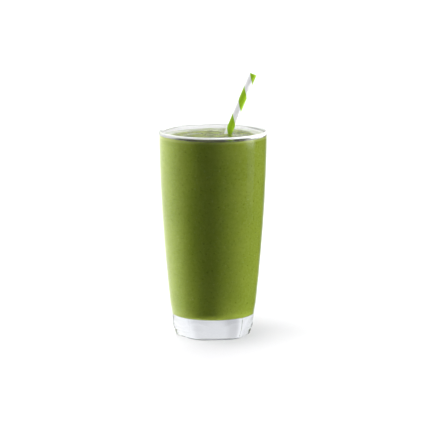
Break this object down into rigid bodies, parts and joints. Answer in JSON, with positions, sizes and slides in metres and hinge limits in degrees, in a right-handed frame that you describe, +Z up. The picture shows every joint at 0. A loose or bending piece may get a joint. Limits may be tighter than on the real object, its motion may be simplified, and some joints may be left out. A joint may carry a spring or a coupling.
{
  "type": "green smoothie in a glass with a straw",
  "caption": "Tall clear glass with a heavy, softly six-sided base, filled almost to the rim with thick green smoothie, with a spiral striped paper straw leaning in it.",
  "frame": {"origin": "on the table, at the centre of the foot of the glass", "axes": "+Z up along the axis of the glass; the front looks towards -Y and the straw leans towards +X"},
  "size_m": [0.085, 0.085, 0.2082],
  "materials": {
    "clear_glass": "clear, polished, smooth",
    "green_smoothie": "wet and opaque, with fine specks",
    "striped_paper": "matte paper with a green and white spiral stripe"
  },
  "bodies": {
    "root": {"glass": "clear_glass", "smoothie": "green_smoothie", "straw": "striped_paper"}
  },
  "joints": []
}
